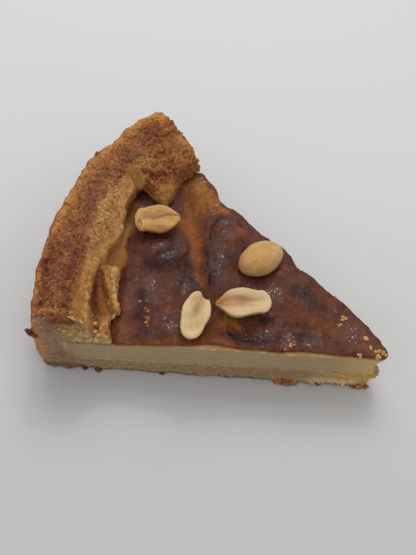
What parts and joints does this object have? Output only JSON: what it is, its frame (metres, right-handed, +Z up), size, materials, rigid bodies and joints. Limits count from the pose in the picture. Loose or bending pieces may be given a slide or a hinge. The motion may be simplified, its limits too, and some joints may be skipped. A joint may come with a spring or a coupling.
{
  "type": "custard tart slice",
  "caption": "Wedge of baked custard tart with a pastry base, a tall craggy folded rim, a wavy glossy browned skin and blanched peanut halves on top.",
  "frame": {"origin": "middle of the bounding box of the slice, on the table under its base", "axes": "+X along the near cut towards the tip, +Y from the near cut towards the rim's far corner, +Z up"},
  "size_m": [0.1014, 0.0774, 0.032],
  "materials": {
    "pastry": "dry crumbly baked shortcrust, browned on top and pale in the cuts",
    "custard": "glossy wavy dark brown baked skin over matte beige set custard",
    "peanut": "satin, lightly roasted cream"
  },
  "bodies": {
    "root": {"crust": "pastry", "custard": "custard", "nut_1": "peanut", "nut_2": "peanut", "nut_3": "peanut", "nut_4": "peanut"}
  },
  "joints": []
}
